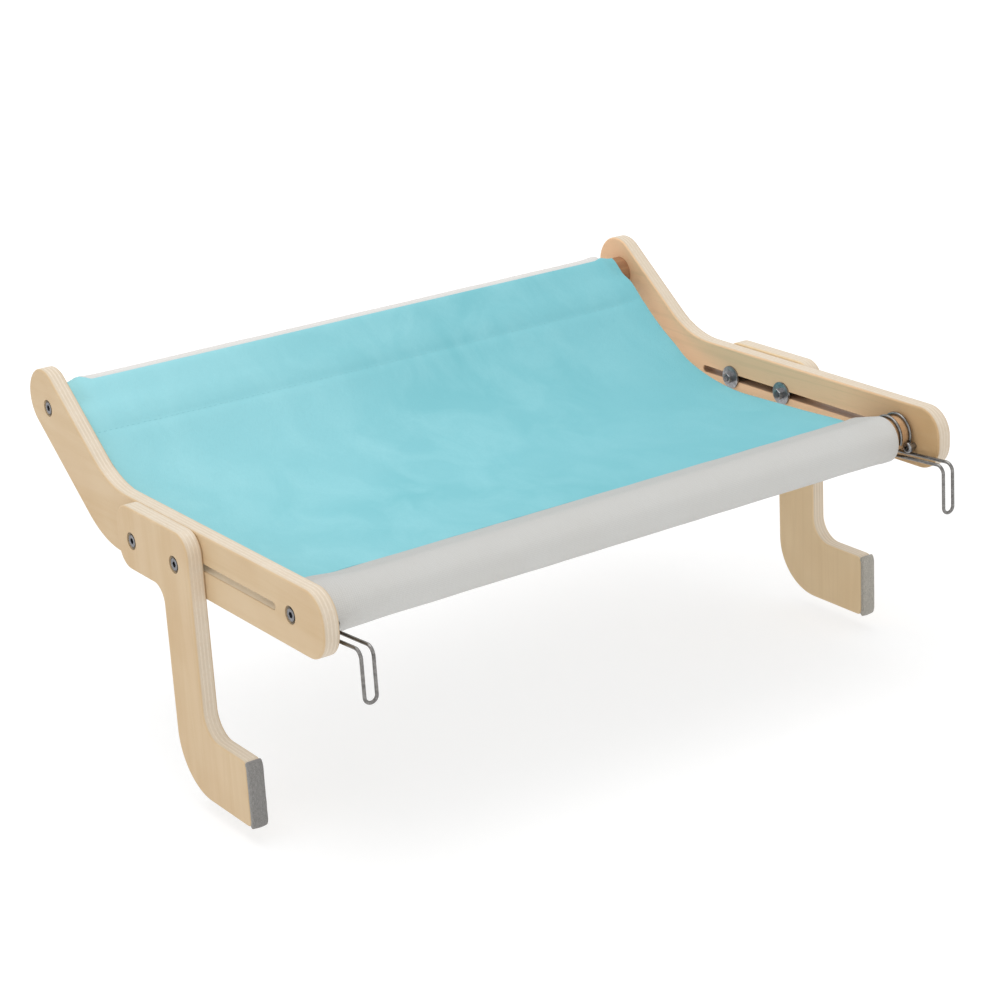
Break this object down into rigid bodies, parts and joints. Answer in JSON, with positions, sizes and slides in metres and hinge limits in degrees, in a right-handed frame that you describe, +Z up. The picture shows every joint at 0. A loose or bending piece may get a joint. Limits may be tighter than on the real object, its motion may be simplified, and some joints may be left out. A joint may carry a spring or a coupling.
{
  "type": "hanging cat bed",
  "caption": "Cloth sling between two dowels and bent plywood arms that rest on a window sill, with sliding wall legs and wire hooks.",
  "frame": {"origin": "on the plane of the window sill's top, which is the underside of the arms, midway between the arms and straight below the front dowel's axis", "axes": "+X along the dowels to the right as seen from the window side, +Y away from the window to the raised back, +Z up"},
  "size_m": [0.554, 0.4158, 0.2538],
  "materials": {
    "plywood": "satin",
    "dowel": "satin",
    "zinc_steel": "satin",
    "hook_wire": "satin",
    "felt": "matte",
    "plush": "matte",
    "canvas": "matte"
  },
  "bodies": {
    "frame": {"left_arm": "plywood", "right_arm": "plywood", "front_dowel": "dowel", "rear_dowel": "dowel", "front_dowel_inserts": "zinc_steel", "rear_dowel_inserts": "zinc_steel", "front_dowel_screws": "zinc_steel", "rear_dowel_screws": "zinc_steel", "front_dowel_washers": "zinc_steel", "rear_dowel_washers": "zinc_steel", "left_hook_screw": "zinc_steel", "right_hook_screw": "zinc_steel", "front_sleeve": "canvas", "rear_sleeve": "canvas", "sling_underside": "canvas", "sling_top": "plush"},
    "left_leg_set": {"left_leg": "plywood", "left_foot_pad": "felt", "left_leg_screws": "zinc_steel", "left_leg_washers": "zinc_steel", "left_clamp_washers": "zinc_steel", "left_hex_nuts": "zinc_steel"},
    "right_leg_set": {"right_leg": "plywood", "right_foot_pad": "felt", "right_leg_screws": "zinc_steel", "right_leg_washers": "zinc_steel", "right_clamp_washers": "zinc_steel", "right_hex_nuts": "zinc_steel"},
    "left_hook_wire": {"left_hook": "hook_wire"},
    "right_hook_wire": {"right_hook": "hook_wire"}
  },
  "joints": [
    {"name": "left_leg_slide", "type": "slide", "parent": "frame", "child": "left_leg_set", "axis": [0, 1, 0], "range_m": [-0.108, 0.032]},
    {"name": "right_leg_slide", "type": "slide", "parent": "frame", "child": "right_leg_set", "axis": [0, 1, 0], "range_m": [-0.108, 0.032]},
    {"name": "left_hook_swing", "type": "hinge", "parent": "frame", "child": "left_hook_wire", "pos_m": [-0.2455, 0, 0.023], "axis": [-1, 0, 0], "range_deg": [0, 5]},
    {"name": "right_hook_swing", "type": "hinge", "parent": "frame", "child": "right_hook_wire", "pos_m": [0.2455, 0, 0.023], "axis": [-1, 0, 0], "range_deg": [0, 5]}
  ]
}
